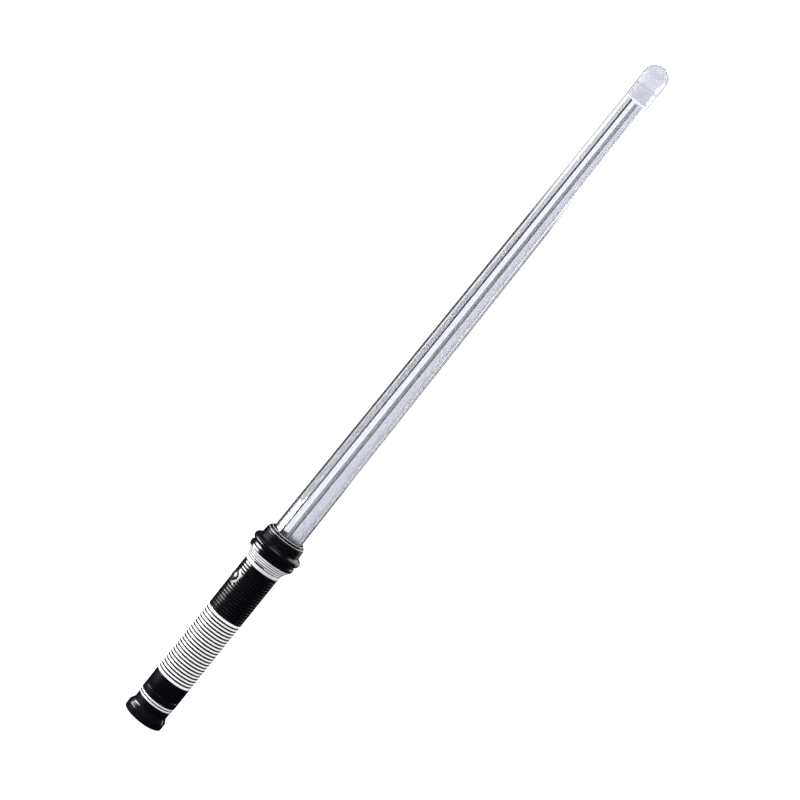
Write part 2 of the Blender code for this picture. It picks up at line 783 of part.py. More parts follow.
def make_blade(bench, body):
    bench.turned(
        "blade_tube",
        [
            (BLADE_FOOT_RADIUS - BLADE_WALL, BLADE_FOOT),
            (BLADE_TOP_RADIUS - BLADE_WALL, BLADE_TOP),
            (BLADE_TOP_RADIUS, BLADE_TOP),
            (BLADE_FOOT_RADIUS, BLADE_FOOT),
        ],
        "clear_tube",
        body,
    )
    low = BLADE_FOOT + 2.0
    bench.turned(
        "diffuser_tube",
        [
            (DIFFUSER_FOOT_RADIUS - DIFFUSER_WALL, low),
            (DIFFUSER_TOP_RADIUS - DIFFUSER_WALL, DIFFUSER_TOP),
            (DIFFUSER_TOP_RADIUS, DIFFUSER_TOP),
            (DIFFUSER_FOOT_RADIUS, low),
        ],
        "frosted_tube",
        body,
    )
    bore, cup, outer = 11.6, DIFFUSER_FOOT_RADIUS + GAP, 13.7
    seat, top = low - GAP, BLADE_FOOT + 8.0
    bench.turned(
        "blade_base_ring",
        [
            (bore, BLADE_FOOT),
            (bore, seat),
            (cup, seat),
            (cup, top),
            (outer, top),
            (outer, BLADE_FOOT),
        ],
        "inner_plastic",
        body,
    )


def make_tip(bench, body):
    """The thick hollow dome, on a spigot that plugs the blade's end."""
    low, dome_centre = BLADE_TOP + GAP, TOTAL_HEIGHT - CAP_RADIUS
    spigot_low, spigot_outer, spigot_wall = DIFFUSER_TOP + 1.5, 9.6, 1.5
    inner = CAP_RADIUS - 2.4
    outer_dome = arc((0, dome_centre), CAP_RADIUS, 90, 0, 8)
    inner_dome = arc((0, dome_centre), inner, 0, 90, 5)
    bench.turned(
        "tip_cap",
        [
            (0, TOTAL_HEIGHT),
            *outer_dome[1:],
            (CAP_RADIUS, low),
            (spigot_outer, low),
            (spigot_outer, spigot_low),
            (spigot_outer - spigot_wall, spigot_low),
            (spigot_outer - spigot_wall, low + 1.5),
            *inner_dome[:-1],
            (0, dome_centre + inner),
        ],
        "frosted_tube",
        body,
    )


def main():
    clear_scene()
    bench = Bench()
    handle = bench.body("handle")
    button = bench.body("button", handle)
    cartridge = bench.body("cartridge", handle)
    pommel = bench.body("pommel", cartridge)
    make_core(bench, handle)
    make_sleeves(bench, handle)
    make_collar(bench, handle)
    make_emitter(bench, handle)
    make_bezel(bench, handle)
    make_socket(bench, handle)
    make_contacts(bench, handle)
    make_boards(bench, handle)
    make_lamps(bench, handle)
    make_wires(bench, handle)
    make_blade(bench, handle)
    make_tip(bench, handle)
    make_button(bench, button)
    make_cartridge(bench, cartridge)
    make_pommel(bench, pommel)


main()
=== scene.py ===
"""Looks of the light-up toy sword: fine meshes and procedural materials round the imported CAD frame."""

import json
import math

import bmesh
import bpy
from mathutils import Matrix, Vector, noise


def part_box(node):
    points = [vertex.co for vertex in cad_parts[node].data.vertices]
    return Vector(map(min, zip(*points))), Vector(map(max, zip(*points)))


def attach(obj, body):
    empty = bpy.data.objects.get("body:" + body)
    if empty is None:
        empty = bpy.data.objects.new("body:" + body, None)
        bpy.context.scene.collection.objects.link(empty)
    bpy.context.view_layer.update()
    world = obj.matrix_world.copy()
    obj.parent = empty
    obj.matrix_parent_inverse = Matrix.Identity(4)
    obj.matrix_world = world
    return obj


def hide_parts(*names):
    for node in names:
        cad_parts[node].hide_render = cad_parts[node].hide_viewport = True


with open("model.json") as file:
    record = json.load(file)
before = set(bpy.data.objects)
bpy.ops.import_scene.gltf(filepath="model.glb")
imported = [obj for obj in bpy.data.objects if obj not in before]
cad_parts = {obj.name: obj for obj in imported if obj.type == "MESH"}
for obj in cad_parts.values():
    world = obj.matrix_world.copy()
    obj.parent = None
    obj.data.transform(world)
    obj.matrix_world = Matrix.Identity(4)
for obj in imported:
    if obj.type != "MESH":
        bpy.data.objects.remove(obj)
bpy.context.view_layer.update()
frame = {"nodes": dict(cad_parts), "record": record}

# Lengths below are in millimetres unless a comment says otherwise; MM turns them into metres.
MM = 0.001
STEPS = 160  # round the outer pieces
BROAD_STEPS = 192  # round the collar and the blade
MIDDLE_STEPS = 96  # round the button, the cells and the holes
SMALL_STEPS = 64  # round the small inner ones
EASE_STEP = math.radians(15)  # largest turn between two points of a rounded corner
EASE_SHARE = 0.48  # most that one rounded corner takes of a side
SHARP_ANGLE = 35.0  # degrees between faces from which an edge is shaded sharp
WIDE_SHARP_ANGLE = 40.0  # the same on the rolled sheet and the carried-over nodes
WELD = 0.000002  # metres within which points are merged

# Fine shapes that the CAD solids leave out
RIB_COUNT = 23
RIB_DEPTH = 0.8
FINE_RIB_COUNT = 18
FINE_RIB_DEPTH = 0.6
COLLAR_GROOVES = 4
SHOULDER_GROOVES = 4
CELL_COUNT = 3
DEEPEST_GROOVE = 1.2  # a face further in than this belongs to the bore
PATCH_RADIUS = 8.0  # smooth round the power button
SLEEVE_BORE = 15.7  # of every sleeve on the core tube

# The sheet rolled up inside the blade
SHEET_THICKNESS = 0.25
# The cut edge's near-black strip is painted shade for a dark line; this is its width
LINE_SHADE_WIDTH = 1.25  # width of the dark cut edge
# The grey strip behind the sheet is painted shade for a grey band along the blade: its width, and its depth
SHADE_BAND_WIDTH = 3.9
SHADE_BAND_DEPTH = 0.4  # behind the sheet's inner face
OVERLAP_DEPTH = 0.7  # how far the doubled part lies behind that face
# Degrees from +X to the rolled sheet's two edges and to the end of its doubled part: at the foot, and how
# far each one turns from there to the top
STRIP_EDGE = (-31.5, 10.5)
SEALED_EDGE = (295.4, 6.0)
OVERLAP_END = (210.0, 90.0)

FLOOR_DROP = 0.2  # keeps the floor clear of the cap's flat base
FLOOR_RADIUS = 40.0  # in metres

# Camera, in metres and degrees: its turn from -Y, its distance from the blade's axis, its height, the height
# that it aims at, its shift to the side, and its roll. The lens is in millimetres.
CAMERA_TURN = 57.0
CAMERA_DISTANCE = 2.5
CAMERA_HEIGHT = 0.75
AIM_HEIGHT = 0.3719
SIDESTEP = 0.0021
CAMERA_ROLL = 38.74
LENS = 129.0


def extent(node):
    """(largest radius, lowest height, highest height) of a CAD node that is round about the axis."""
    low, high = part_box(node)
    return high.x / MM, low.z / MM, high.z / MM


# ---------------------------------------------------------------- meshes


def eased(outline):
    """Replaces each corner that has a third value by an arc of that radius."""
    done = []
    for i, corner in enumerate(outline):
        here = Vector(corner[:2])
        if len(corner) == 2:
            done.append(here)
            continue
        before = Vector(outline[i - 1][:2])
        after = Vector(outline[(i + 1) % len(outline)][:2])
        back, on = (before - here).normalized(), (after - here).normalized()
        half = back.angle(on) / 2
        shortest = min((before - here).length, (after - here).length)
        reach = min(corner[2] / math.tan(half), EASE_SHARE * shortest)
        radius = reach * math.tan(half)
        centre = here + (back + on).normalized() * (radius / math.sin(half))
        first, last = here + back * reach - centre, here + on * reach - centre
        turn = first.angle_signed(last)
        steps = max(2, math.ceil(abs(turn) / EASE_STEP))
        for k in range(steps + 1):
            spoke = first.copy()
            spoke.rotate(Matrix.Rotation(-turn * k / steps, 2))
            done.append(centre + spoke)
    return done


def added(name, data):
    """A new object in the scene."""
    obj = bpy.data.objects.new(name, data)
    bpy.context.scene.collection.objects.link(obj)
    return obj


def evaluated_mesh(obj):
    """A mesh of the object as its modifiers or bevel leave it."""
    bpy.context.view_layer.update()
    graph = bpy.context.evaluated_depsgraph_get()
    return bpy.data.meshes.new_from_object(obj.evaluated_get(graph))


def smooth(mesh, sharp_angle=SHARP_ANGLE):
    """Shades a mesh smooth, except across its sharp edges."""
    mesh.shade_smooth()
    mesh.set_sharp_from_angle(angle=math.radians(sharp_angle))


def finished(name, shape, sharp_angle=SHARP_ANGLE):
    """Turns a bmesh into a smooth-shaded object."""
    bmesh.ops.recalc_face_normals(shape, faces=shape.faces)
    mesh = bpy.data.meshes.new(name)
    shape.to_mesh(mesh)
    shape.free()
    smooth(mesh, sharp_angle)
    return added(name, mesh)


def turned(name, outline, steps=STEPS):
    """A solid turned about Z. Its outline is a loop, or a line from the axis to the axis.

    A corner of the outline is (radius, height) or (radius, height, radius of its rounding).
    """
    loop = outline[0][0] > 0
    points = eased(outline)
    shape = bmesh.new()
    verts = [shape.verts.new((point.x * MM, 0, point.y * MM)) for point in points]
    pairs = list(zip(verts, verts[1:]))
    if loop:
        pairs.append((verts[-1], verts[0]))
    edges = [shape.edges.new(pair) for pair in pairs]
    bmesh.ops.spin(
        shape,
        geom=verts + edges,
        cent=(0, 0, 0),
        axis=(0, 0, 1),
        angle=math.tau,
        steps=steps,
        use_merge=True,
    )
    bmesh.ops.remove_doubles(shape, verts=shape.verts, dist=WELD)
    return finished(name, shape)


def block(name, low, high, ease=0.2):
    """A box between two corners with rounded edges."""
    size = [(b - a) * MM for a, b in zip(low, high)]
    centre = [(a + b) / 2 * MM for a, b in zip(low, high)]
    shape = bmesh.new()
    matrix = Matrix.Translation(centre) @ Matrix.Diagonal((*size, 1.0))
    bmesh.ops.create_cube(shape, size=1.0, matrix=matrix)
    bmesh.ops.bevel(
        shape,
        geom=shape.edges[:],
        offset=ease * MM,
        segments=3,
        profile=0.5,
        affect="EDGES",
        clamp_overlap=True,
    )
    return finished(name, shape)


def baked(obj):
    """Applies the modifiers."""
    mesh = evaluated_mesh(obj)
    old = obj.data
    obj.modifiers.clear()
    obj.data = mesh
    bpy.data.meshes.remove(old)


def combine(obj, operation, other):
    """Cuts other out of obj, or joins it on, and removes it."""
    modifier = obj.modifiers.new(operation, "BOOLEAN")
    modifier.operation = operation
    modifier.object = other
    baked(obj)
    bpy.data.objects.remove(other)
    smooth(obj.data)


def laid_towards_button(obj, height):
    """Turns a piece made along +Z to point along -Y, at a height."""
    lift = Matrix.Translation((0, 0, height * MM))
    obj.data.transform(lift @ Matrix.Rotation(math.radians(90), 4, "X"))
    return obj


def sector(name, inner, outer, middle, half_angle, low, high):
    """A cutter shaped like a piece of a ring, with its middle at an angle from +X."""
    shape = bmesh.new()
    outline = []
    steps = 8
    for radius, way in ((outer, 1), (inner, -1)):
        for k in range(steps + 1):
            angle = math.radians(middle + way * half_angle * (2 * k / steps - 1))
            outline.append((radius * math.cos(angle) * MM, radius * math.sin(angle) * MM))
    face = shape.faces.new([shape.verts.new((x, y, low * MM)) for x, y in outline])
    raised = bmesh.ops.extrude_face_region(shape, geom=[face])
    top = [part for part in raised["geom"] if isinstance(part, bmesh.types.BMVert)]
    bmesh.ops.translate(shape, verts=top, vec=(0, 0, (high - low) * MM))
    return finished(name, shape)


def coil(name, radius, wire, low, high, turns, centre=(0, 0)):
    """A compression spring of round wire, wound closer towards its ends. wire is its radius."""
    points_per_turn = 28
    curve = bpy.data.curves.new(name, "CURVE")
    curve.dimensions = "3D"
    curve.bevel_depth = wire * MM
    curve.bevel_resolution = 4
    curve.use_fill_caps = True
    spline = curve.splines.new("POLY")
    count = round(turns * points_per_turn)
    spline.points.add(count)
    for k in range(count + 1):
        share = k / count
        rise = 0.5 - 0.5 * math.cos(math.pi * share)
        angle = math.tau * turns * share
        x, y = centre[0] + radius * math.cos(angle), centre[1] + radius * math.sin(angle)
        spline.points[k].co = (x * MM, y * MM, (low + (high - low) * rise) * MM, 1)
    obj = added(name, curve)
    mesh = evaluated_mesh(obj)
    bpy.data.objects.remove(obj)
    shape = bmesh.new()
    shape.from_mesh(mesh)
    bmesh.ops.remove_doubles(shape, verts=shape.verts, dist=WELD)
    bpy.data.meshes.remove(mesh)
    return finished(name, shape, sharp_angle=50.0)


def paint_groove_shade(obj, surface, depth, material, recess):
    """Gives a turned piece two materials: recess, a painted groove shade, where it lies deeper than a depth
    below surface(height).
    """
    obj.data.materials.append(material)
    obj.data.materials.append(recess)
    for face in obj.data.polygons:
        reach = math.hypot(face.center.x, face.center.y) / MM
        below = surface(face.center.z / MM) - reach
        if depth < below < DEEPEST_GROOVE:
            face.material_index = 1


def shown(obj, node, body, slot, paint):
    """Puts a finished piece in place of its CAD node, in its slot's material unless it has its own."""
    if len(obj.data.materials) == 0:
        obj.data.materials.append(paint[slot])
    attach(obj, body)
    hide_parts(node)


# ---------------------------------------------------------------- materials


class Paint:
    """A Principled material under construction, with short ways to add its nodes."""

    def __init__(self, name, **values):
        self.material = bpy.data.materials.new(name)
        self.material.use_nodes = True
        self.tree = self.material.node_tree
        self.shader = self.tree.nodes["Principled BSDF"]
        for key, value in values.items():
            self.shader.inputs[key.replace("_", " ").title().replace("Ior", "IOR")].default_value = value
        self.place = self.node("ShaderNodeTexCoord").outputs["Object"]

    def node(self, kind, inputs=None, **settings):
        """A new node. An input is a number, a tuple or the output that it is linked to."""
        made = self.tree.nodes.new(kind)
        for key, value in settings.items():
            setattr(made, key, value)
        for key, value in (inputs or {}).items():
            self.fill(made.inputs[key], value)
        return made

    def fill(self, socket, value):
        if isinstance(value, tuple):
            socket.default_value = (*value, 1.0)[: len(socket.default_value)]
        elif isinstance(value, (int, float)):
            socket.default_value = value
        else:
            self.tree.links.new(value, socket)

    def stretched(self, x, y, z, turn=(0, 0, 0)):
        """The object's coordinates in metres, multiplied along each axis and then turned."""
        inputs = {"Vector": self.place, "Scale": (x, y, z), "Rotation": turn}
        return self.node("ShaderNodeMapping", inputs).outputs["Vector"]

    def noise(self, scale, detail=3.0, place=None, roughness=0.5):
        inputs = {"Vector": place or self.place, "Scale": scale, "Detail": detail, "Roughness": roughness}
        return self.node("ShaderNodeTexNoise", inputs).outputs["Fac"]

    def range(self, source, low, high, to_low=0.0, to_high=1.0):
        """Takes the stretch from low to high to another, and holds it at its ends."""
        inputs = {"Value": source, "From Min": low, "From Max": high, "To Min": to_low, "To Max": to_high}
        return self.node("ShaderNodeMapRange", inputs).outputs["Result"]

    def cloud(self, scale, detail=4.0, place=None):
        """Soft blotches from 0 to 1."""
        return self.range(self.noise(scale, detail, place), 0.35, 0.65)

    def edge_on(self, low, high, normal=None):
        """0 where the surface faces the viewer and 1 where it is seen edge on, between two limits."""
        made = self.node("ShaderNodeLayerWeight", {"Normal": normal} if normal else None)
        return self.range(made.outputs["Facing"], low, high)

    def raised_normal(self, rise):
        """The surface's normal, tipped up by adding a rise to it."""
        normal = self.node("ShaderNodeNewGeometry").outputs["Normal"]
        lifted = self.node("ShaderNodeVectorMath", {0: normal, 1: (0, 0, rise)}, operation="ADD").outputs[0]
        return self.node("ShaderNodeVectorMath", {0: lifted}, operation="NORMALIZE").outputs[0]

    def math(self, operation, a, b=0.0):
        return self.node("ShaderNodeMath", {0: a, 1: b}, operation=operation).outputs["Value"]

    def mix(self, share, a, b):
        made = self.node("ShaderNodeMix", data_type="RGBA")
        for key, value in (("Factor", share), ("A", a), ("B", b)):
            self.fill(made.inputs[key], value)
        return made.outputs["Result"]

    def shade(self, key, value):
        """Sets one of the shader's own inputs."""
        self.fill(self.shader.inputs[key], value)

    def colour(self, value):
        self.shade("Base Color", value)

    def roughness(self, scale, low, high, detail=3.0):
        self.shade("Roughness", self.range(self.noise(scale, detail), 0.3, 0.7, low, high))

    def bump(self, *layers):
        """Layers are (height source, depth in millimetres)."""
        below = {}
        for source, depth in layers:
            inputs = {"Strength": 1.0, "Distance": depth * MM, "Height": source} | below
            below = {"Normal": self.node("ShaderNodeBump", inputs).outputs["Normal"]}
        self.shade("Normal", below["Normal"])

    def coordinates(self):
        """The object's coordinates in metres, as three outputs by name."""
        return self.node("ShaderNodeSeparateXYZ", {"Vector": self.place}).outputs

    def reach(self):
        """Distance from the handle's axis, in metres."""
        place = self.coordinates()
        squares = [self.math("MULTIPLY", place[key], place[key]) for key in "XY"]
        return self.math("SQRT", self.math("ADD", *squares))

    def height(self):
        return self.coordinates()["Z"]


def moulded(name, light, dark, low, high, grain=0.02, **values):
    """Moulded plastic: mottled colour, fine grain and faint flow marks along the tool."""
    paint = Paint(name, **values)
    paint.colour(paint.mix(paint.cloud(60.0), light, dark))
    paint.roughness(240.0, low, high)
    marks = paint.noise(1.0, 2.0, paint.stretched(300, 300, 40))
    paint.bump((paint.noise(2600.0, 2.0), grain), (marks, grain * 1.5))
    return paint.material


def black_plastic():
    """Near-black with a trace of navy, glossy, and a little paler where hands have dulled it."""
    paint = Paint("black_plastic", specular_ior_level=0.4, coat_weight=0.3, coat_roughness=0.1)
    worn = paint.range(paint.noise(45.0, 5.0), 0.52, 0.75)
    paint.colour(paint.mix(worn, (0.0015, 0.0015, 0.0042), (0.004, 0.004, 0.008)))
    paint.roughness(150.0, 0.16, 0.3, detail=4.0)
    scratches = paint.noise(1.0, 3.0, paint.stretched(900, 900, 60))
    paint.bump((paint.noise(3000.0, 2.0), 0.012), (scratches, 0.02))
    return paint.material


def silver_grip(crest):
    """Silver-white on the ribs, turning black down in the grooves as painted groove shade."""
    paint = Paint("silver_grip", specular_ior_level=0.5, coat_weight=0.3, coat_roughness=0.15)
    full_shade_depth, no_shade_depth, wobble = 0.26, 0.16, 0.06
    raggedness = paint.range(paint.noise(500.0, 3.0), 0.3, 0.7, -wobble * MM, wobble * MM)
    edge = paint.math("ADD", paint.reach(), raggedness)
    # This mask is 0 down in the grooves, where the colour is painted black as groove shade, and 1 on the
    # silver ribs
    unshaded_share = paint.range(edge, (crest - full_shade_depth) * MM, (crest - no_shade_depth) * MM)
    silver = paint.mix(paint.cloud(70.0), (0.94, 0.94, 0.955), (0.88, 0.885, 0.91))
    paint.colour(paint.mix(unshaded_share, (0.004, 0.004, 0.007), silver))
    paint.shade("Metallic", paint.math("MULTIPLY", unshaded_share, 0.12))
    paint.roughness(260.0, 0.24, 0.38)
    paint.bump((paint.noise(4200.0, 2.0), 0.015), (paint.noise(500.0, 2.0), 0.02))
    return paint.material


def bright_trim():
    """Silver lacquer over plastic, with fine flake and faint turning lines."""
    paint = Paint("bright_trim", metallic=0.3, coat_weight=0.5, coat_roughness=0.06)
    paint.colour(paint.mix(paint.cloud(90.0), (0.88, 0.89, 0.91), (0.78, 0.79, 0.82)))
    paint.roughness(320.0, 0.14, 0.28)
    lines = paint.noise(1.0, 2.0, paint.stretched(60, 60, 9000))
    paint.bump((paint.noise(6000.0, 1.0), 0.006), (lines, 0.01))
    return paint.material


def painted_groove_shade():
    """Painted groove shade: near-black and dull, for the faces down in the grooves."""
    pale, deep = (0.004, 0.004, 0.006), (0.001, 0.001, 0.002)
    return moulded("painted_groove_shade", deep, pale, 0.6, 0.75, specular_ior_level=0.05)


def clear_tube():
    """Clear plastic with faint extrusion lines; its colour is painted dark along its sides where it is seen
    edge on, a painted shade, less so towards the thin upper end.
    """
    paint = Paint("clear_tube", transmission_weight=1.0, ior=1.46, specular_ior_level=0.4)
    # Painted edge shade: the colour goes near-black where the tube is seen edge on, read with a normal
    # tipped up, and weakens above 0.57 m
    side = paint.edge_on(0.44, 0.58, paint.raised_normal(0.5))
    fade = paint.range(paint.height(), 0.57, 0.64, 1.0, 0.25)
    paint.colour(paint.mix(paint.math("MULTIPLY", side, fade), (0.975, 0.98, 0.99), (0.01, 0.01, 0.012)))
    scuffs = paint.noise(1.0, 5.0, paint.stretched(500, 500, 25), 0.6)
    paint.shade("Roughness", paint.range(scuffs, 0.5, 0.75, 0.02, 0.12))
    paint.bump((paint.noise(1.0, 2.0, paint.stretched(700, 700, 3)), 0.006))
    return paint.material


def rolled_sheet(name, pale, deep):
    """Frosted translucent sheet, finely mottled; its colour is painted deeper where it is seen edge on, a
    painted shade.
    """
    paint = Paint(name, transmission_weight=0.92, ior=1.35, specular_ior_level=0.3)
    mottle = paint.range(paint.noise(1.0, 6.0, paint.stretched(520, 520, 260), 0.7), 0.4, 0.56)
    # Painted edge shade: the colour goes to grey lavender where the sheet is seen edge on
    paint.colour(paint.mix(paint.edge_on(0.42, 0.85), paint.mix(mottle, deep, pale), (0.66, 0.66, 0.75)))
    paint.roughness(600.0, 0.3, 0.42)
    paint.bump((paint.noise(2200.0, 3.0), 0.006), (paint.noise(300.0, 2.0), 0.012))
    return paint.material


def painted_line_shade():
    """Near-black colour of the sheet's heat-cut edge and of the grey strip's borders: painted shade for dark
    lines along the blade.
    """
    paint = Paint("painted_line_shade", specular_ior_level=0.3)
    grain = paint.range(paint.noise(1.0, 4.0, paint.stretched(800, 800, 60)), 0.4, 0.6)
    paint.colour(paint.mix(grain, (0.008, 0.008, 0.012), (0.03, 0.03, 0.04)))
    paint.roughness(500.0, 0.5, 0.7)
    paint.bump((paint.noise(1500.0, 2.0), 0.02))
    return paint.material


def painted_band_shade():
    """Grey strip behind the sheet's edge: painted shade for a grey band along the blade."""
    paint = Paint("painted_band_shade", specular_ior_level=0.3)
    grain = paint.cloud(1.0, 4.0, paint.stretched(500, 500, 40))
    paint.colour(paint.mix(grain, (0.44, 0.44, 0.48), (0.58, 0.58, 0.62)))
    paint.roughness(500.0, 0.5, 0.7)
    paint.bump((paint.noise(900.0, 2.0), 0.02))
    return paint.material


def frosted_cap():
    """Milky translucent moulding of the tip; its colour is painted deeper where it is seen edge on, a
    painted shade.
    """
    paint = Paint("frosted_cap", transmission_weight=0.9, ior=1.4)
    milk = paint.mix(paint.cloud(120.0), (0.81, 0.817, 0.875), (0.77, 0.78, 0.845))
    # Painted edge shade: the colour goes to grey lavender where the cap is seen edge on
    paint.colour(paint.mix(paint.edge_on(0.5, 0.9), milk, (0.55, 0.55, 0.66)))
    paint.roughness(300.0, 0.14, 0.24)
    paint.bump((paint.noise(500.0, 2.0), 0.002))
    return paint.material


def metal(name, colour, dull, low, high, grain=(400, 400, 400)):
    """Bare metal with fine lines and dull patches."""
    paint = Paint(name, metallic=1.0)
    patch = paint.range(paint.noise(200.0, 5.0), 0.4, 0.7)
    paint.colour(paint.mix(patch, colour, dull))
    paint.roughness(500.0, low, high)
    paint.bump((paint.noise(1.0, 3.0, paint.stretched(*grain)), 0.01))
    return paint.material


def cell_wrap(low, high, upright):
    """A cell's dark wrap, with a plain copper band at its positive end and bare steel at both ends."""
    paint = Paint("cell_wrap_" + ("up" if upright else "down"), specular_ior_level=0.5, coat_weight=0.4)
    way = 1 if upright else -1
    positive, negative = (high * MM, low * MM) if upright else (low * MM, high * MM)
    band_length, nub_length, foot_length = 0.28 * (high - low) * MM, 1.6 * MM, 0.25 * MM
    level = paint.math("MULTIPLY", paint.height(), way)
    band = paint.math("GREATER_THAN", level, way * positive - band_length)
    bare_top = paint.math("GREATER_THAN", level, way * positive - nub_length)
    bare_foot = paint.math("LESS_THAN", level, way * negative + foot_length)
    bare = paint.math("MAXIMUM", bare_top, bare_foot)
    wrap = paint.mix(paint.cloud(150.0), (0.02, 0.021, 0.026), (0.035, 0.036, 0.042))
    wrap = paint.mix(band, wrap, (0.55, 0.28, 0.12))
    paint.colour(paint.mix(bare, wrap, (0.66, 0.66, 0.68)))
    paint.shade("Metallic", paint.math("MAXIMUM", bare, paint.math("MULTIPLY", band, 0.6)))
    paint.roughness(400.0, 0.2, 0.34)
    paint.bump((paint.noise(900.0, 3.0), 0.02))
    return paint.material


def circuit_board():
    """Green solder mask over thin tracks."""
    paint = Paint("board", specular_ior_level=0.5, coat_weight=0.3)
    flat = paint.stretched(900, 900, 900, turn=(math.radians(90), 0, 0))
    sizes = {"Scale": 1.0, "Brick Width": 2.4, "Row Height": 1.7, "Mortar Size": 0.16}
    tracks = paint.node("ShaderNodeTexBrick", {"Vector": flat} | sizes)
    mask = paint.mix(paint.cloud(200.0, 3.0), (0.010, 0.11, 0.040), (0.016, 0.15, 0.055))
    paint.colour(paint.mix(tracks.outputs["Fac"], mask, (0.05, 0.27, 0.10)))
    paint.roughness(500.0, 0.25, 0.4)
    paint.bump((tracks.outputs["Fac"], 0.035))
    return paint.material


def lamp_lens():
    """Clear epoxy of the lamps."""
    pale, deep = (0.93, 0.94, 0.97), (0.88, 0.9, 0.94)
    return moulded("lamp", pale, deep, 0.04, 0.1, grain=0.004, transmission_weight=0.8)


def contact_metal():
    """Brass with lines across it."""
    return metal("contact_metal", (0.80, 0.62, 0.30), (0.62, 0.45, 0.2), 0.2, 0.38, (200, 3000, 200))


def make_materials():
    """Every material that a whole piece takes, by name."""
    crest = extent("ribbed_grip")[0]
    return {
        "black_plastic": black_plastic(),
        "silver_grip": silver_grip(crest),
        "bright_trim": bright_trim(),
        "painted_groove_shade": painted_groove_shade(),
        "mirror_coat": metal("mirror_coat", (0.9, 0.9, 0.92), (0.8, 0.8, 0.83), 0.04, 0.1),
        "clear_tube": clear_tube(),
        "frosted_tube": rolled_sheet("rolled_sheet", (0.88, 0.885, 0.93), (0.81, 0.815, 0.875)),
        "doubled_sheet": rolled_sheet("doubled_sheet", (0.94, 0.95, 0.97), (0.8, 0.82, 0.85)),
        "frosted_cap": frosted_cap(),
        "core_plastic": moulded("core_plastic", (0.035, 0.035, 0.04), (0.055, 0.055, 0.06), 0.42, 0.58),
        "inner_plastic": moulded("inner_plastic", (0.72, 0.72, 0.69), (0.64, 0.64, 0.6), 0.38, 0.52),
        "board": circuit_board(),
        "lamp": lamp_lens(),
        "contact_metal": contact_metal(),
        "steel": metal("steel", (0.66, 0.66, 0.68), (0.5, 0.5, 0.52), 0.2, 0.35, (300, 300, 2500)),
        "red_wire": moulded("red_wire", (0.55, 0.02, 0.02), (0.42, 0.015, 0.015), 0.38, 0.5),
        "black_wire": moulded("black_wire", (0.015, 0.015, 0.015), (0.03, 0.03, 0.03), 0.38, 0.5),
    }


# ---------------------------------------------------------------- pommel and lower handle


def make_pommel(paint):
    """The flared cap, with the spigot inside it, its two bayonet lugs, and the spring on its floor."""
    flare, foot = extent("pommel_cap")[:2]
    neck, shell_bore, shell_top = 17.4, 15.9, 18.6
    spigot, spigot_bore, spigot_top = 13.5, 12.5, 20.5
    floor, flare_start, flare_full = 3.0, 11.2, 6.9
    ring_outer, ring_inner, ring_rise, ring_slope = 15.6, 13.3, 0.45, 0.3
    outline = [
        (0, floor),
        (spigot_bore, floor, 0.6),
        (spigot_bore, spigot_top, 0.3),
        (spigot, spigot_top, 0.3),
        (spigot, floor, 0.5),
        (shell_bore, floor, 0.5),
        (shell_bore, shell_top, 0.3),
        (neck, shell_top, 0.35),
        (neck, flare_start, 4.0),
        (flare, flare_full, 1.6),
        (flare, foot, 0.7),
        (ring_outer, foot, 0.15),
        (ring_outer - ring_slope, foot + ring_rise, 0.2),
        (ring_inner + ring_slope, foot + ring_rise, 0.2),
        (ring_inner, foot, 0.15),
        (0, foot),
    ]
    cap = turned("pommel_cap_shell", outline)
    lug_half, lug_low, lug_high, lug_root, lug_reach = 2.3, 14.0, 17.0, 13.0, 15.1
    for side in (-1, 1):
        near, far = sorted((side * lug_root, side * lug_reach))
        combine(cap, "UNION", block("lug", (near, -lug_half, lug_low), (far, lug_half, lug_high), 0.25))
    shown(cap, "pommel_cap", "pommel", "black_plastic", paint)
    wire, clearance, spring_radius, spring_top, turns = 0.5, 0.4, 6.0, 7.7, 3.5
    spring = coil("cap_spring", spring_radius, wire, floor + wire + clearance, spring_top, turns)
    shown(spring, "pommel_spring", "pommel", "steel", paint)


def grooved_ring(name, node, middle, mouth, floor_half, depth, eases):
    """A ring with one groove. eases are the roundings of its rims, and of the groove's lips and floor."""
    radius, low, high = extent(node)
    rim_ease, lip_ease, floor_ease = eases
    outline = [
        (SLEEVE_BORE, low, 0.15),
        (SLEEVE_BORE, high, 0.15),
        (radius, high, rim_ease),
        (radius, middle + mouth, lip_ease),
        (radius - depth, middle + floor_half, floor_ease),
        (radius - depth, middle - floor_half, floor_ease),
        (radius, middle - mouth, lip_ease),
        (radius, low, rim_ease),
    ]
    return turned(name, outline)


def make_trim_ring(paint):
    """A bright ring with one groove round its middle, painted black as groove shade."""
    radius, low, high = extent("trim_ring")
    middle = (low + high) / 2
    ring = grooved_ring("bright_ring", "trim_ring", middle, 0.6, 0.4, 0.7, (0.6, 0.35, 0.12))
    # The groove's faces take the painted groove shade
    paint_groove_shade(ring, lambda height: radius, 0.4, paint["bright_trim"], paint["painted_groove_shade"])
    shown(ring, "trim_ring", "handle", "bright_trim", paint)


def make_lower_band(paint):
    """A black band with one shallow groove."""
    groove = 30.3
    band = grooved_ring("grooved_band", "lower_band", groove, 0.75, 0.375, 0.55, (0.35, 0.4, 0.2))
    shown(band, "lower_band", "handle", "black_plastic", paint)


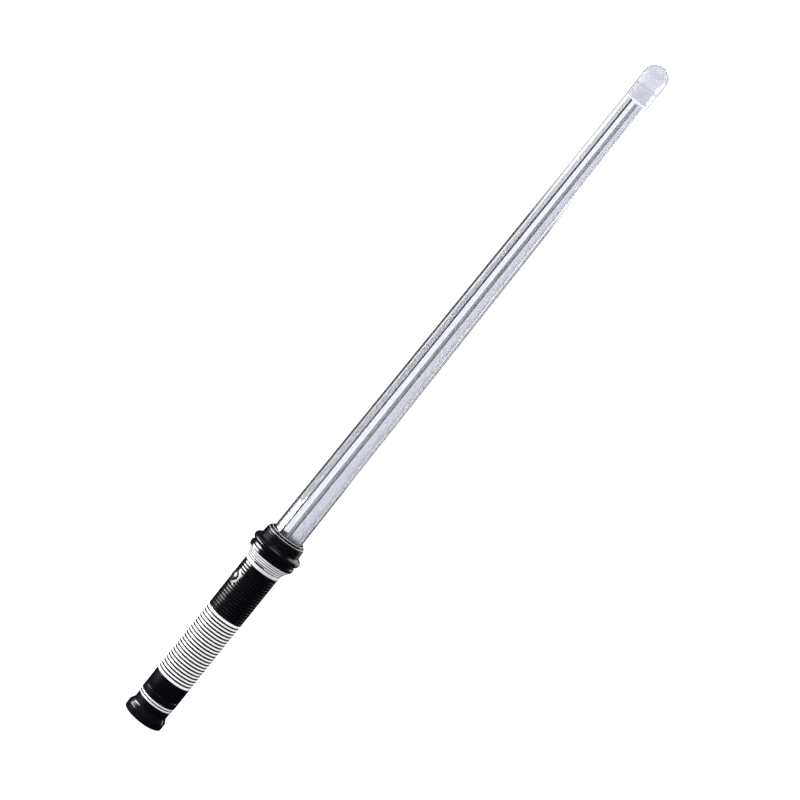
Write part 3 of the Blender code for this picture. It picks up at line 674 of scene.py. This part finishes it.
def make_ribbed_grip(paint):
    """Broad silver ribs, slightly crowned, with narrow deep grooves between them."""
    radius, low, high = extent("ribbed_grip")
    pitch = (high - low) / RIB_COUNT
    mouth, floor_half = 0.86, 0.66
    end, edge, crest, groove = radius - 0.15, radius - 0.1, radius + 0.02, radius - RIB_DEPTH
    outline = [(SLEEVE_BORE, low, 0.15), (SLEEVE_BORE, high, 0.15), (end, high, 0.3)]
    for i in range(RIB_COUNT):
        top = high - i * pitch
        if i > 0:
            outline += [(groove, top - floor_half, 0.1), (edge, top - mouth, 0.2)]
        outline.append((crest, top - pitch / 2))
        if i < RIB_COUNT - 1:
            foot = top - pitch
            outline += [(edge, foot + mouth, 0.2), (groove, foot + floor_half, 0.1)]
    outline.append((end, low, 0.3))
    sleeve = turned("ribbed_sleeve", outline)
    shown(sleeve, "ribbed_grip", "handle", "silver_grip", paint)


def fine_rib_rows(low, high, pitch):
    """(height, depth share) of the rows that draw the upper grip's fine grooves."""
    rows = []
    groove_half, margin = 0.75, 0.9
    groove = ((1, 0.0), (0.8, 0.25), (0.6, 0.9), (0, 1.0), (-0.6, 0.9), (-0.8, 0.25), (-1, 0.0))
    count = int((high - low) / pitch)
    start = high - (high - low - count * pitch) / 2
    for i in range(count + 1):
        middle = start - i * pitch
        for offset, share in groove:
            rows.append((middle + offset * groove_half, share))
        rows.append((middle - pitch / 2, 0.0))
    return [row for row in rows if low + margin < row[0] < high - margin]


def make_upper_grip(paint):
    """Black sleeve with fine grooves, which stop short of a smooth patch round the button."""
    radius, low, high = extent("upper_grip")
    fine_steps, fade_width, hole_lip = 224, 0.8, 0.9
    rows = fine_rib_rows(low, high, (high - low) / FINE_RIB_COUNT)
    outline = [(SLEEVE_BORE, low, 0.15), (SLEEVE_BORE, high, 0.15), (radius, high, 0.35)]
    outline += [(radius, height) for height, share in rows] + [(radius, low, 0.35)]
    grip = turned("fine_ribbed_sleeve", outline, fine_steps)
    shares = {round(height, 4): share for height, share in rows}
    middle = button_height()
    for vertex in grip.data.vertices:
        share = shares.get(round(vertex.co.z / MM, 4), 0.0)
        reach = math.hypot(vertex.co.x, vertex.co.y) / MM
        if share == 0.0 or reach < radius - 1:
            continue
        angle = math.atan2(vertex.co.y, vertex.co.x) + math.pi / 2
        away = math.hypot(angle * radius, vertex.co.z / MM - middle)
        fade = min(max((away - PATCH_RADIUS) / fade_width, 0.0), 1.0)
        scale = (radius - FINE_RIB_DEPTH * share * fade) / reach
        vertex.co.x *= scale
        vertex.co.y *= scale
    hole_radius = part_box("power_button")[1].x / MM - hole_lip
    combine(grip, "DIFFERENCE", button_hole(hole_radius, 12, 24, STEPS))
    # Faces down in the fine grooves take the painted groove shade, darker and without gloss
    paint_groove_shade(grip, lambda height: radius, 0.3, paint["black_plastic"], paint["painted_groove_shade"])
    shown(grip, "upper_grip", "handle", "black_plastic", paint)


def button_height():
    """The height of the button's axis."""
    low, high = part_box("power_button")
    return (low.z + high.z) / 2 / MM


def button_hole(radius, near, far, steps):
    """A round cutter along the button's axis, between two distances from the handle's axis."""
    cutter = turned("hole", [(0, far), (radius, far), (radius, near), (0, near)], steps)
    return laid_towards_button(cutter, button_height())


def make_button(paint):
    """A crowned push button with a shallow ring round its face, and its flange and stem behind."""
    low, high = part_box("power_button")
    face, back = -low.y / MM, -high.y / MM
    flange = high.x / MM
    radius, flange_thickness = 4.7, 1.0
    crown_share, crown_drop, steps = 0.82, 0.45, 10
    ring_share, ring_drop, rim_share, rim_drop, edge_drop = 0.86, 0.62, 0.9, 0.42, 0.5
    crown = []
    for k in range(steps + 1):
        reach = radius * crown_share * k / steps
        crown.append((reach, face - crown_drop * (reach / radius) ** 2))
    outline = crown + [
        (radius * ring_share, face - ring_drop, 0.1),
        (radius * rim_share, face - rim_drop, 0.1),
        (radius, face - edge_drop, 0.4),
        (radius, back + flange_thickness, 0.2),
        (flange, back + flange_thickness, 0.2),
        (flange, back, 0.2),
        (0, back),
    ]
    button = laid_towards_button(turned("push_button", outline, MIDDLE_STEPS), button_height())
    shown(button, "power_button", "button", "black_plastic", paint)
    low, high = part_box("switch_stem")
    radius, tip, root = high.x / MM, -high.y / MM, -low.y / MM
    outline = [(0, root), (radius, root, 0.2), (radius, tip, 0.4), (0, tip)]
    stem = laid_towards_button(turned("plunger", outline, SMALL_STEPS), button_height())
    shown(stem, "switch_stem", "button", "inner_plastic", paint)


# ---------------------------------------------------------------- collar, emitter and bezel


def make_collar(paint):
    """A trumpet with rings turned into it and a window on two sides."""
    mouth, low, high = extent("collar")
    waist, socket_bore, socket_foot = 18.0, 17.5, 182.9
    flare_low, flare_high, plain_foot = low + 1.2, high - 0.4, low + 1.6

    def flare(height):
        share = min(max((height - flare_low) / (flare_high - flare_low), 0.0), 1.0)
        return waist + (mouth - waist) * share**2

    outline = [
        (SLEEVE_BORE, low, 0.15),
        (SLEEVE_BORE, socket_foot, 0.1),
        (socket_bore, socket_foot, 0.1),
        (socket_bore, high, 0.15),
        (mouth, high, 0.35),
    ]
    pitch, half, floor_half, depth = 2.3, 0.45, 0.2, 0.8
    first_groove = high - 1.9
    for i in range(COLLAR_GROOVES):
        groove = first_groove - i * pitch
        crest = groove + pitch / 2 - 0.1
        outline += [
            (flare(crest), crest),
            (flare(groove + half), groove + half, 0.18),
            (flare(groove) - depth, groove + floor_half, 0.1),
            (flare(groove) - depth, groove - floor_half, 0.1),
            (flare(groove - half), groove - half, 0.18),
        ]
    outline += [(flare(plain_foot), plain_foot), (waist, low, 0.3)]
    collar = turned("flared_collar", outline, BROAD_STEPS)
    # Faces down in the rings' grooves take the painted groove shade
    paint_groove_shade(collar, flare, 0.3, paint["bright_trim"], paint["painted_groove_shade"])
    window_half_turn, window_low, window_high = 18.0, 178.8, 181.1
    for turn in (-45.0, 135.0):
        window = sector("window", SLEEVE_BORE - 1, mouth, turn, window_half_turn, window_low, window_high)
        combine(collar, "DIFFERENCE", window)
    shown(collar, "collar", "handle", "bright_trim", paint)


def make_emitter(paint):
    """A flange, a rounded bead above it, and a shoulder with fine grooves."""
    low, high = extent("emitter_shroud")[1:]
    flange, flange_top, bore = 23.4, 191.7, 17.5
    notch, notch_foot, notch_top = 22.3, 192.2, 194.4
    shoulder_low, shoulder_high, shoulder_foot = 20.5, 19.8, 201.9
    bead_middle, bead_height, bead_radius = 21.5, 197.8, 3.25
    bead_start, bead_sweep, steps = 66, 138, 24
    first_groove, pitch, groove_depth, groove_half = 208.1, 1.5, 0.35, 0.4
    bead = []
    for k in range(steps + 1):
        angle = math.radians(bead_start - bead_sweep * k / steps)
        reach = bead_middle + bead_radius * math.cos(angle)
        bead.append((reach, bead_height + bead_radius * math.sin(angle)))

    def shoulder(height):
        share = (high - height) / (high - shoulder_foot)
        return shoulder_high + (shoulder_low - shoulder_high) * share

    outline = [(bore, low, 0.15), (bore, high, 0.15), (shoulder_high, high, 0.5)]
    for i in range(SHOULDER_GROOVES):
        groove = first_groove - i * pitch
        radius = shoulder(groove)
        outline += [
            (radius, groove + groove_half, 0.15),
            (radius - groove_depth, groove + groove_half * 0.6, 0.1),
            (radius - groove_depth, groove - groove_half * 0.6, 0.1),
            (radius, groove - groove_half, 0.15),
        ]
    outline += [
        (shoulder_low, shoulder_foot, 0.7),
        *bead,
        (notch, notch_top, 0.4),
        (notch, notch_foot, 0.3),
        (flange, flange_top, 0.45),
        (flange, low, 0.45),
    ]
    shroud = turned("emitter_body", outline)
    # Faces down in the shoulder's grooves take the painted groove shade
    paint_groove_shade(shroud, shoulder, 0.2, paint["black_plastic"], paint["painted_groove_shade"])
    shown(shroud, "emitter_shroud", "handle", "black_plastic", paint)


def make_bezel(paint):
    """The stepped ring round the blade's foot; the lips of its first and last steps take the bright trim as
    painted highlight lines.
    """
    widest, low, high = extent("front_bezel")
    bore, narrowest, step_count, lip = 15.65, 17.1, 3, 0.3
    rise, run = (high - low) / step_count, (widest - narrowest) / (step_count - 1)
    outline = [(bore, low, 0.1), (bore, high, 0.3)]
    corners = [(narrowest + i * run, high - i * rise) for i in range(step_count)]
    for radius, top in corners:
        outline += [(radius, top, 0.4), (radius, top - rise, 0.12)]
    bezel = turned("stepped_bezel", outline)
    bezel.data.materials.append(paint["black_plastic"])
    bezel.data.materials.append(paint["bright_trim"])
    # Faces at the lips of the first and last steps take the bright trim: painted highlight lines
    for face in bezel.data.polygons:
        reach, height = math.hypot(face.center.x, face.center.y) / MM, face.center.z / MM
        for radius, top in (corners[0], corners[-1]):
            if math.hypot(reach - radius, height - top) < lip:
                face.material_index = 1
    shown(bezel, "front_bezel", "handle", "black_plastic", paint)


# ---------------------------------------------------------------- blade


def make_blade(paint):
    """The tapering clear tube, open at both ends."""
    radius, low, high = extent("blade_tube")
    top_radius, wall = 11.1, 1.0
    outline = [
        (radius - wall, low, 0.2),
        (top_radius - wall, high, 0.2),
        (top_radius, high, 0.3),
        (radius, low, 0.3),
    ]
    tube = turned("clear_blade", outline, BROAD_STEPS)
    shown(tube, "blade_tube", "handle", "clear_tube", paint)


def wound_strip(shape, low, high, ring, start, stop, material):
    """Adds an open strip to a bmesh.

    ring(share of height, angle) is its radius, and start(share) and stop(share) are its edges' angles.
    """
    rows, column_turn = 60, math.radians(2)
    columns = max(2, math.ceil((stop(0) - start(0)) / column_turn))
    grid = []
    for row in range(rows + 1):
        share = row / rows
        height = (low + (high - low) * share) * MM
        line = []
        for k in range(columns + 1):
            angle = start(share) + (stop(share) - start(share)) * k / columns
            reach = ring(share, angle) * MM
            line.append(shape.verts.new((reach * math.cos(angle), reach * math.sin(angle), height)))
        grid.append(line)
    for lower, upper in zip(grid, grid[1:]):
        for k in range(columns):
            face = shape.faces.new((lower[k], lower[k + 1], upper[k + 1], upper[k]))
            face.material_index = material


def make_sheet(paint):
    """The diffuser: a frosted sheet rolled into a tapering tube, open along a gap; dark lines and a grey
    strip on it are painted shade.
    """
    radius, low, high = extent("diffuser_tube")
    top_radius, clearance, ripple_depth, setback = 8.1, 0.05, 0.02, 1
    # Material slots: plain sheet, near-black painted line shade, grey painted band shade, doubled sheet
    plain, line_shade, band_shade, doubled = range(4)

    def ring(share, angle):
        ripple = ripple_depth * noise.noise(Vector((angle * 1.5, share * 12, 0.0)))
        return radius + (top_radius - radius) * share - clearance + ripple

    def inner_ring(depth):
        return lambda share, angle: ring(share, angle) - SHEET_THICKNESS - depth

    def line(turns, offset=0.0, growth=-0.2):
        """The angle at each height of a line that lies some millimetres from one of the sheet's edges."""

        def angle(share):
            edge = math.radians(turns[0] + turns[1] * share)
            return edge + offset * (1 + growth * share) / ring(share, 0)

        return angle

    shape = bmesh.new()
    far_edge = line(SEALED_EDGE)
    line_shade_start = line(SEALED_EDGE, -LINE_SHADE_WIDTH, 0.35)
    wound_strip(shape, low, high, ring, line(STRIP_EDGE), line_shade_start, plain)
    # The strip next to the far edge is near-black: painted shade for a dark line
    wound_strip(shape, low, high, ring, line_shade_start, far_edge, line_shade)
    bmesh.ops.remove_doubles(shape, verts=shape.verts, dist=WELD)
    ends = low + setback, high - setback
    wound_strip(shape, *ends, inner_ring(OVERLAP_DEPTH), line(OVERLAP_END), line_shade_start, doubled)
    # A grey strip behind the sheet with near-black borders: painted shade for a grey band and two dark lines
    half = SHADE_BAND_WIDTH / 2
    stripes = (-half, 0.4 - half, half - 0.8, half)
    for start, stop, material in zip(stripes, stripes[1:], (line_shade, band_shade, line_shade)):
        edges = line(STRIP_EDGE, start), line(STRIP_EDGE, stop)
        wound_strip(shape, *ends, inner_ring(SHADE_BAND_DEPTH), *edges, material)
    sheet = finished("rolled_diffuser", shape)
    for material in (paint["frosted_tube"], painted_line_shade(), painted_band_shade(), paint["doubled_sheet"]):
        sheet.data.materials.append(material)
    solid = sheet.modifiers.new("thickness", "SOLIDIFY")
    solid.thickness = SHEET_THICKNESS * MM
    solid.offset = -1.0
    baked(sheet)
    smooth(sheet.data, WIDE_SHARP_ANGLE)
    shown(sheet, "diffuser_tube", "handle", "frosted_tube", paint)


def make_tip(paint):
    """The thick hollow dome on its spigot."""
    radius, low, high = extent("tip_cap")
    wall, spigot, spigot_wall, seat, shoulder = 2.4, 9.6, 1.5, 718.9, 1.5
    dome, inner, steps = high - radius, radius - wall, 20
    outer_arc, inner_arc = [], []
    for k in range(1, steps + 1):
        angle = math.radians(90 - 90 * k / steps)
        outer_arc.append((radius * math.cos(angle), dome + radius * math.sin(angle)))
    for k in range(steps):
        angle = math.radians(90 * k / steps)
        inner_arc.append((inner * math.cos(angle), dome + inner * math.sin(angle)))
    outline = [
        (0, high),
        *outer_arc,
        (radius, seat, 0.25),
        (spigot, seat, 0.1),
        (spigot, low, 0.25),
        (spigot - spigot_wall, low, 0.25),
        (spigot - spigot_wall, seat + shoulder, 0.5),
        *inner_arc,
        (0, dome + inner),
    ]
    tip = turned("domed_tip", outline)
    shown(tip, "tip_cap", "handle", "frosted_cap", paint)


# ---------------------------------------------------------------- core and battery cartridge


def make_core(paint):
    """The core tube with its two bayonet slots and the button's hole."""
    outer, low, high = extent("core_tube")
    inner, hole_radius, overlap = 13.9, 5.0, 0.01
    slot_half, slot_ceiling, slot_floor, lock_turn = 12.0, 17.5, 13.5, 40.0
    core = turned("core", [(inner, low, 0.3), (inner, high, 0.3), (outer, high, 0.3), (outer, low, 0.5)])
    for middle in (0.0, 180.0):
        entry = sector("entry", inner - 1, outer + 1, middle, slot_half, low - 1, slot_ceiling)
        combine(core, "DIFFERENCE", entry)
        middle += lock_turn / 2
        half = slot_half + lock_turn / 2
        turn = sector("turn", inner - 1, outer + 1, middle, half, slot_floor, slot_ceiling + overlap)
        combine(core, "DIFFERENCE", turn)
    combine(core, "DIFFERENCE", button_hole(hole_radius, 10, 22, MIDDLE_STEPS))
    shown(core, "core_tube", "handle", "core_plastic", paint)


def make_liner(paint):
    """The smooth tube that the battery cartridge slides in."""
    outer, low, high = extent("battery_sleeve")
    bore = 12.5
    liner = turned("bay_liner", [(bore, low, 0.3), (bore, high, 0.2), (outer, high, 0.2), (outer, low, 0.2)])
    shown(liner, "battery_sleeve", "handle", "inner_plastic", paint)


def make_cartridge(paint):
    """Two plates on three posts, which stand between the cells."""
    radius, low, high = extent("cartridge_frame")
    plate, post_radius, post_ring, root = 1.8, 1.7, 9.9, 1
    lower_outline = [(0, low + plate), (radius, low + plate, 0.3), (radius, low, 0.4), (0, low)]
    upper_outline = [(0, high), (radius, high, 0.4), (radius, high - plate, 0.3), (0, high - plate)]
    post_outline = [(0, high - root), (post_radius, high - root), (post_radius, low + root), (0, low + root)]
    holder = turned("battery_frame", lower_outline)
    combine(holder, "UNION", turned("upper_plate", upper_outline))
    for i in range(CELL_COUNT):
        angle = math.radians(30 + 360 / CELL_COUNT * i)
        post = turned("post", post_outline, SMALL_STEPS)
        offset = Vector((math.cos(angle), math.sin(angle), 0)) * post_ring * MM
        post.data.transform(Matrix.Translation(offset))
        combine(holder, "UNION", post)
    shown(holder, "cartridge_frame", "cartridge", "core_plastic", paint)


def make_terminals(paint):
    """The cartridge's centre button and contact ring."""
    radius, low, high = extent("centre_terminal")
    nose, nose_root, disc = 1.6, 2.2, 0.6
    outline = [
        (0, high),
        (nose, high, 0.2),
        (nose_root, low + disc, 0.3),
        (radius, low + disc, 0.15),
        (radius, low, 0.1),
        (0, low),
    ]
    centre = turned("centre_button", outline, SMALL_STEPS)
    shown(centre, "centre_terminal", "cartridge", "contact_metal", paint)
    radius, low, high = extent("ring_terminal")
    inner, crown = 8.0, 0.15
    outline = [
        (inner, low, 0.1),
        (inner, high - crown, 0.1),
        ((radius + inner) / 2, high, 1.5),
        (radius, high - crown, 0.1),
        (radius, low, 0.1),
    ]
    ring = turned("contact_ring", outline, MIDDLE_STEPS)
    shown(ring, "ring_terminal", "cartridge", "contact_metal", paint)


def make_cell(paint, i):
    """One AAA cell with its rolled rim and nub, and its spring."""
    low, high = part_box(f"cell_{i + 1}")
    radius = (high.x - low.x) / 2 / MM
    foot, top = low.z / MM, high.z / MM
    upright = i != 1
    cell_ring, nub, nub_height = 6.7, 1.9, 1.0
    rim_outer, rim_inner, foot_recess = radius - 0.9, radius - 1.2, 0.15
    outline = [
        (0, top),
        (nub, top, 0.25),
        (nub, top - nub_height, 0.15),
        (rim_inner, top - nub_height - 0.05, 0.1),
        (rim_outer, top - nub_height + 0.02, 0.1),
        (radius, top - nub_height, 0.35),
        (radius, foot, 0.4),
        (rim_outer, foot, 0.1),
        (rim_inner, foot + foot_recess, 0.1),
        (0, foot + foot_recess),
    ]
    if not upright:
        outline = [(r, foot + top - z, *ease) for r, z, *ease in reversed(outline)]
    cell = turned(f"dry_cell_{i + 1}", outline, MIDDLE_STEPS)
    angle = math.radians(90 + 360 / CELL_COUNT * i)
    place = cell_ring * math.cos(angle), cell_ring * math.sin(angle)
    cell.data.transform(Matrix.Translation((place[0] * MM, place[1] * MM, 0)))
    cell.data.materials.append(cell_wrap(foot, top, upright))
    shown(cell, f"cell_{i + 1}", "cartridge", "cell_wrap", paint)
    low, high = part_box(f"cell_spring_{i + 1}")
    wire, spring_radius, turns = 0.35, 3.2, 2.5
    start, stop = low.z / MM + wire, high.z / MM - wire
    spring = coil(f"contact_spring_{i + 1}", spring_radius, wire, start, stop, turns, place)
    shown(spring, f"cell_spring_{i + 1}", "cartridge", "steel", paint)


# ---------------------------------------------------------------- carried-over nodes


def finish_carried_nodes(paint):
    """Every CAD node that is still shown takes its slot's material."""
    slots = {part["node"]: part["material_slot"] for part in frame["record"]["subparts"]}
    for name, node in frame["nodes"].items():
        if node.hide_render:
            continue
        node.data.materials.clear()
        node.data.materials.append(paint[slots[name]])
        smooth(node.data, WIDE_SHARP_ANGLE)


# ---------------------------------------------------------------- floor, light and camera


def ray_level(tree, usual, seen, glossy):
    """A light level with its own values for what the camera and clear parts see, and for reflections."""
    rays = tree.nodes.new("ShaderNodeLightPath")
    direct = tree.nodes.new("ShaderNodeMath")
    direct.operation = "MAXIMUM"
    tree.links.new(rays.outputs["Is Camera Ray"], direct.inputs[0])
    tree.links.new(rays.outputs["Is Transmission Ray"], direct.inputs[1])
    level = None
    for switch, value in ((rays.outputs["Is Glossy Ray"], glossy), (direct.outputs[0], seen)):
        step = tree.nodes.new("ShaderNodeMix")
        tree.links.new(switch, step.inputs["Factor"])
        step.inputs["A"].default_value = usual
        step.inputs["B"].default_value = value
        if level is not None:
            tree.links.new(level, step.inputs["A"])
        level = step.outputs["Result"]
    return level


def make_floor():
    """A wide pale disc just under the cap, which it goes with, so a drawn cartridge stays above it."""
    shape = bmesh.new()
    bmesh.ops.create_circle(shape, cap_ends=True, segments=96, radius=FLOOR_RADIUS)
    bmesh.ops.translate(shape, verts=shape.verts, vec=(0, 0, -FLOOR_DROP * MM))
    floor = finished("floor", shape)
    paint = Paint("floor", roughness=0.9, specular_ior_level=0.1, emission_color=(1.0, 1.0, 1.0, 1.0))
    paint.colour(ray_level(paint.tree, 0.3, 0.3, 0.0))
    paint.shade("Emission Strength", ray_level(paint.tree, 0.8, 1.1, 0.0))
    floor.data.materials.append(paint.material)
    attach(floor, "pommel")


def camera_turn(extra):
    """Unit vector away from the axis, level, at the camera's turn and some degrees more to its left."""
    angle = math.radians(CAMERA_TURN - extra)
    return Vector((math.sin(angle), -math.cos(angle), 0))


def add_softbox(name, extra, distance, height, width, tall, power):
    """An upright rectangular area light that faces the blade's axis; sizes in metres, power in watts."""
    light = bpy.data.lights.new(name, "AREA")
    light.shape = "RECTANGLE"
    light.size, light.size_y = width, tall
    light.energy = power
    obj = added(name, light)
    obj.location = camera_turn(extra) * distance + Vector((0, 0, height))
    obj.rotation_euler = (-camera_turn(extra)).to_track_quat("-Z", "Y").to_euler()
    obj.visible_camera = False
    return obj


def make_light():
    """Two panels on the camera's left, two behind on its right, one overhead, and a white surround."""
    add_softbox("key", 95, distance=0.9, height=0.9, width=0.7, tall=1.8, power=3)
    add_softbox("handle_key", 84, distance=0.45, height=0.0925, width=0.36, tall=0.085, power=2.6)
    add_softbox("rim", -128, distance=1.0, height=0.9, width=0.12, tall=1.8, power=1.6)
    add_softbox("blade_rim", -148, distance=0.4, height=0.45, width=0.2, tall=0.5, power=0.5)
    top = add_softbox("top", 20, distance=0.25, height=1.6, width=0.8, tall=0.8, power=5)
    top.rotation_euler = (0, 0, 0)
    world = bpy.data.worlds.new("studio")
    bpy.context.scene.world = world
    world.use_nodes = True
    tree = world.node_tree
    back = tree.nodes["Background"]
    back.inputs["Color"].default_value = (1.0, 1.0, 1.0, 1.0)
    tree.links.new(ray_level(tree, 1.1, 1.1, 0.04), back.inputs["Strength"])


def make_camera():
    """The camera stands a little above the middle of the blade and is tilted to its side."""
    data = bpy.data.cameras.new("camera")
    data.lens = LENS
    data.sensor_width = 36.0
    camera = added("camera", data)
    out = camera_turn(0)
    side = Vector((-out.y, out.x, 0)) * SIDESTEP
    place = out * CAMERA_DISTANCE + Vector((0, 0, CAMERA_HEIGHT)) + side
    ahead = (Vector((0, 0, AIM_HEIGHT)) + side - place).normalized()
    right = ahead.cross(Vector((0, 0, 1))).normalized()
    up = right.cross(ahead)
    roll = math.radians(CAMERA_ROLL)
    tilted_up = up * math.cos(roll) - right * math.sin(roll)
    tilted_right = right * math.cos(roll) + up * math.sin(roll)
    turn = Matrix((tilted_right, tilted_up, -ahead)).transposed().to_4x4()
    camera.matrix_world = Matrix.Translation(place) @ turn
    bpy.context.scene.camera = camera
    bpy.context.scene.view_settings.view_transform = "Standard"


def main():
    make_camera()
    paint = make_materials()
    make_pommel(paint)
    make_trim_ring(paint)
    make_lower_band(paint)
    make_ribbed_grip(paint)
    make_upper_grip(paint)
    make_button(paint)
    make_collar(paint)
    make_emitter(paint)
    make_bezel(paint)
    make_blade(paint)
    make_sheet(paint)
    make_tip(paint)
    make_core(paint)
    make_liner(paint)
    make_cartridge(paint)
    for i in range(CELL_COUNT):
        make_cell(paint, i)
    make_terminals(paint)
    finish_carried_nodes(paint)
    make_floor()
    make_light()


main()
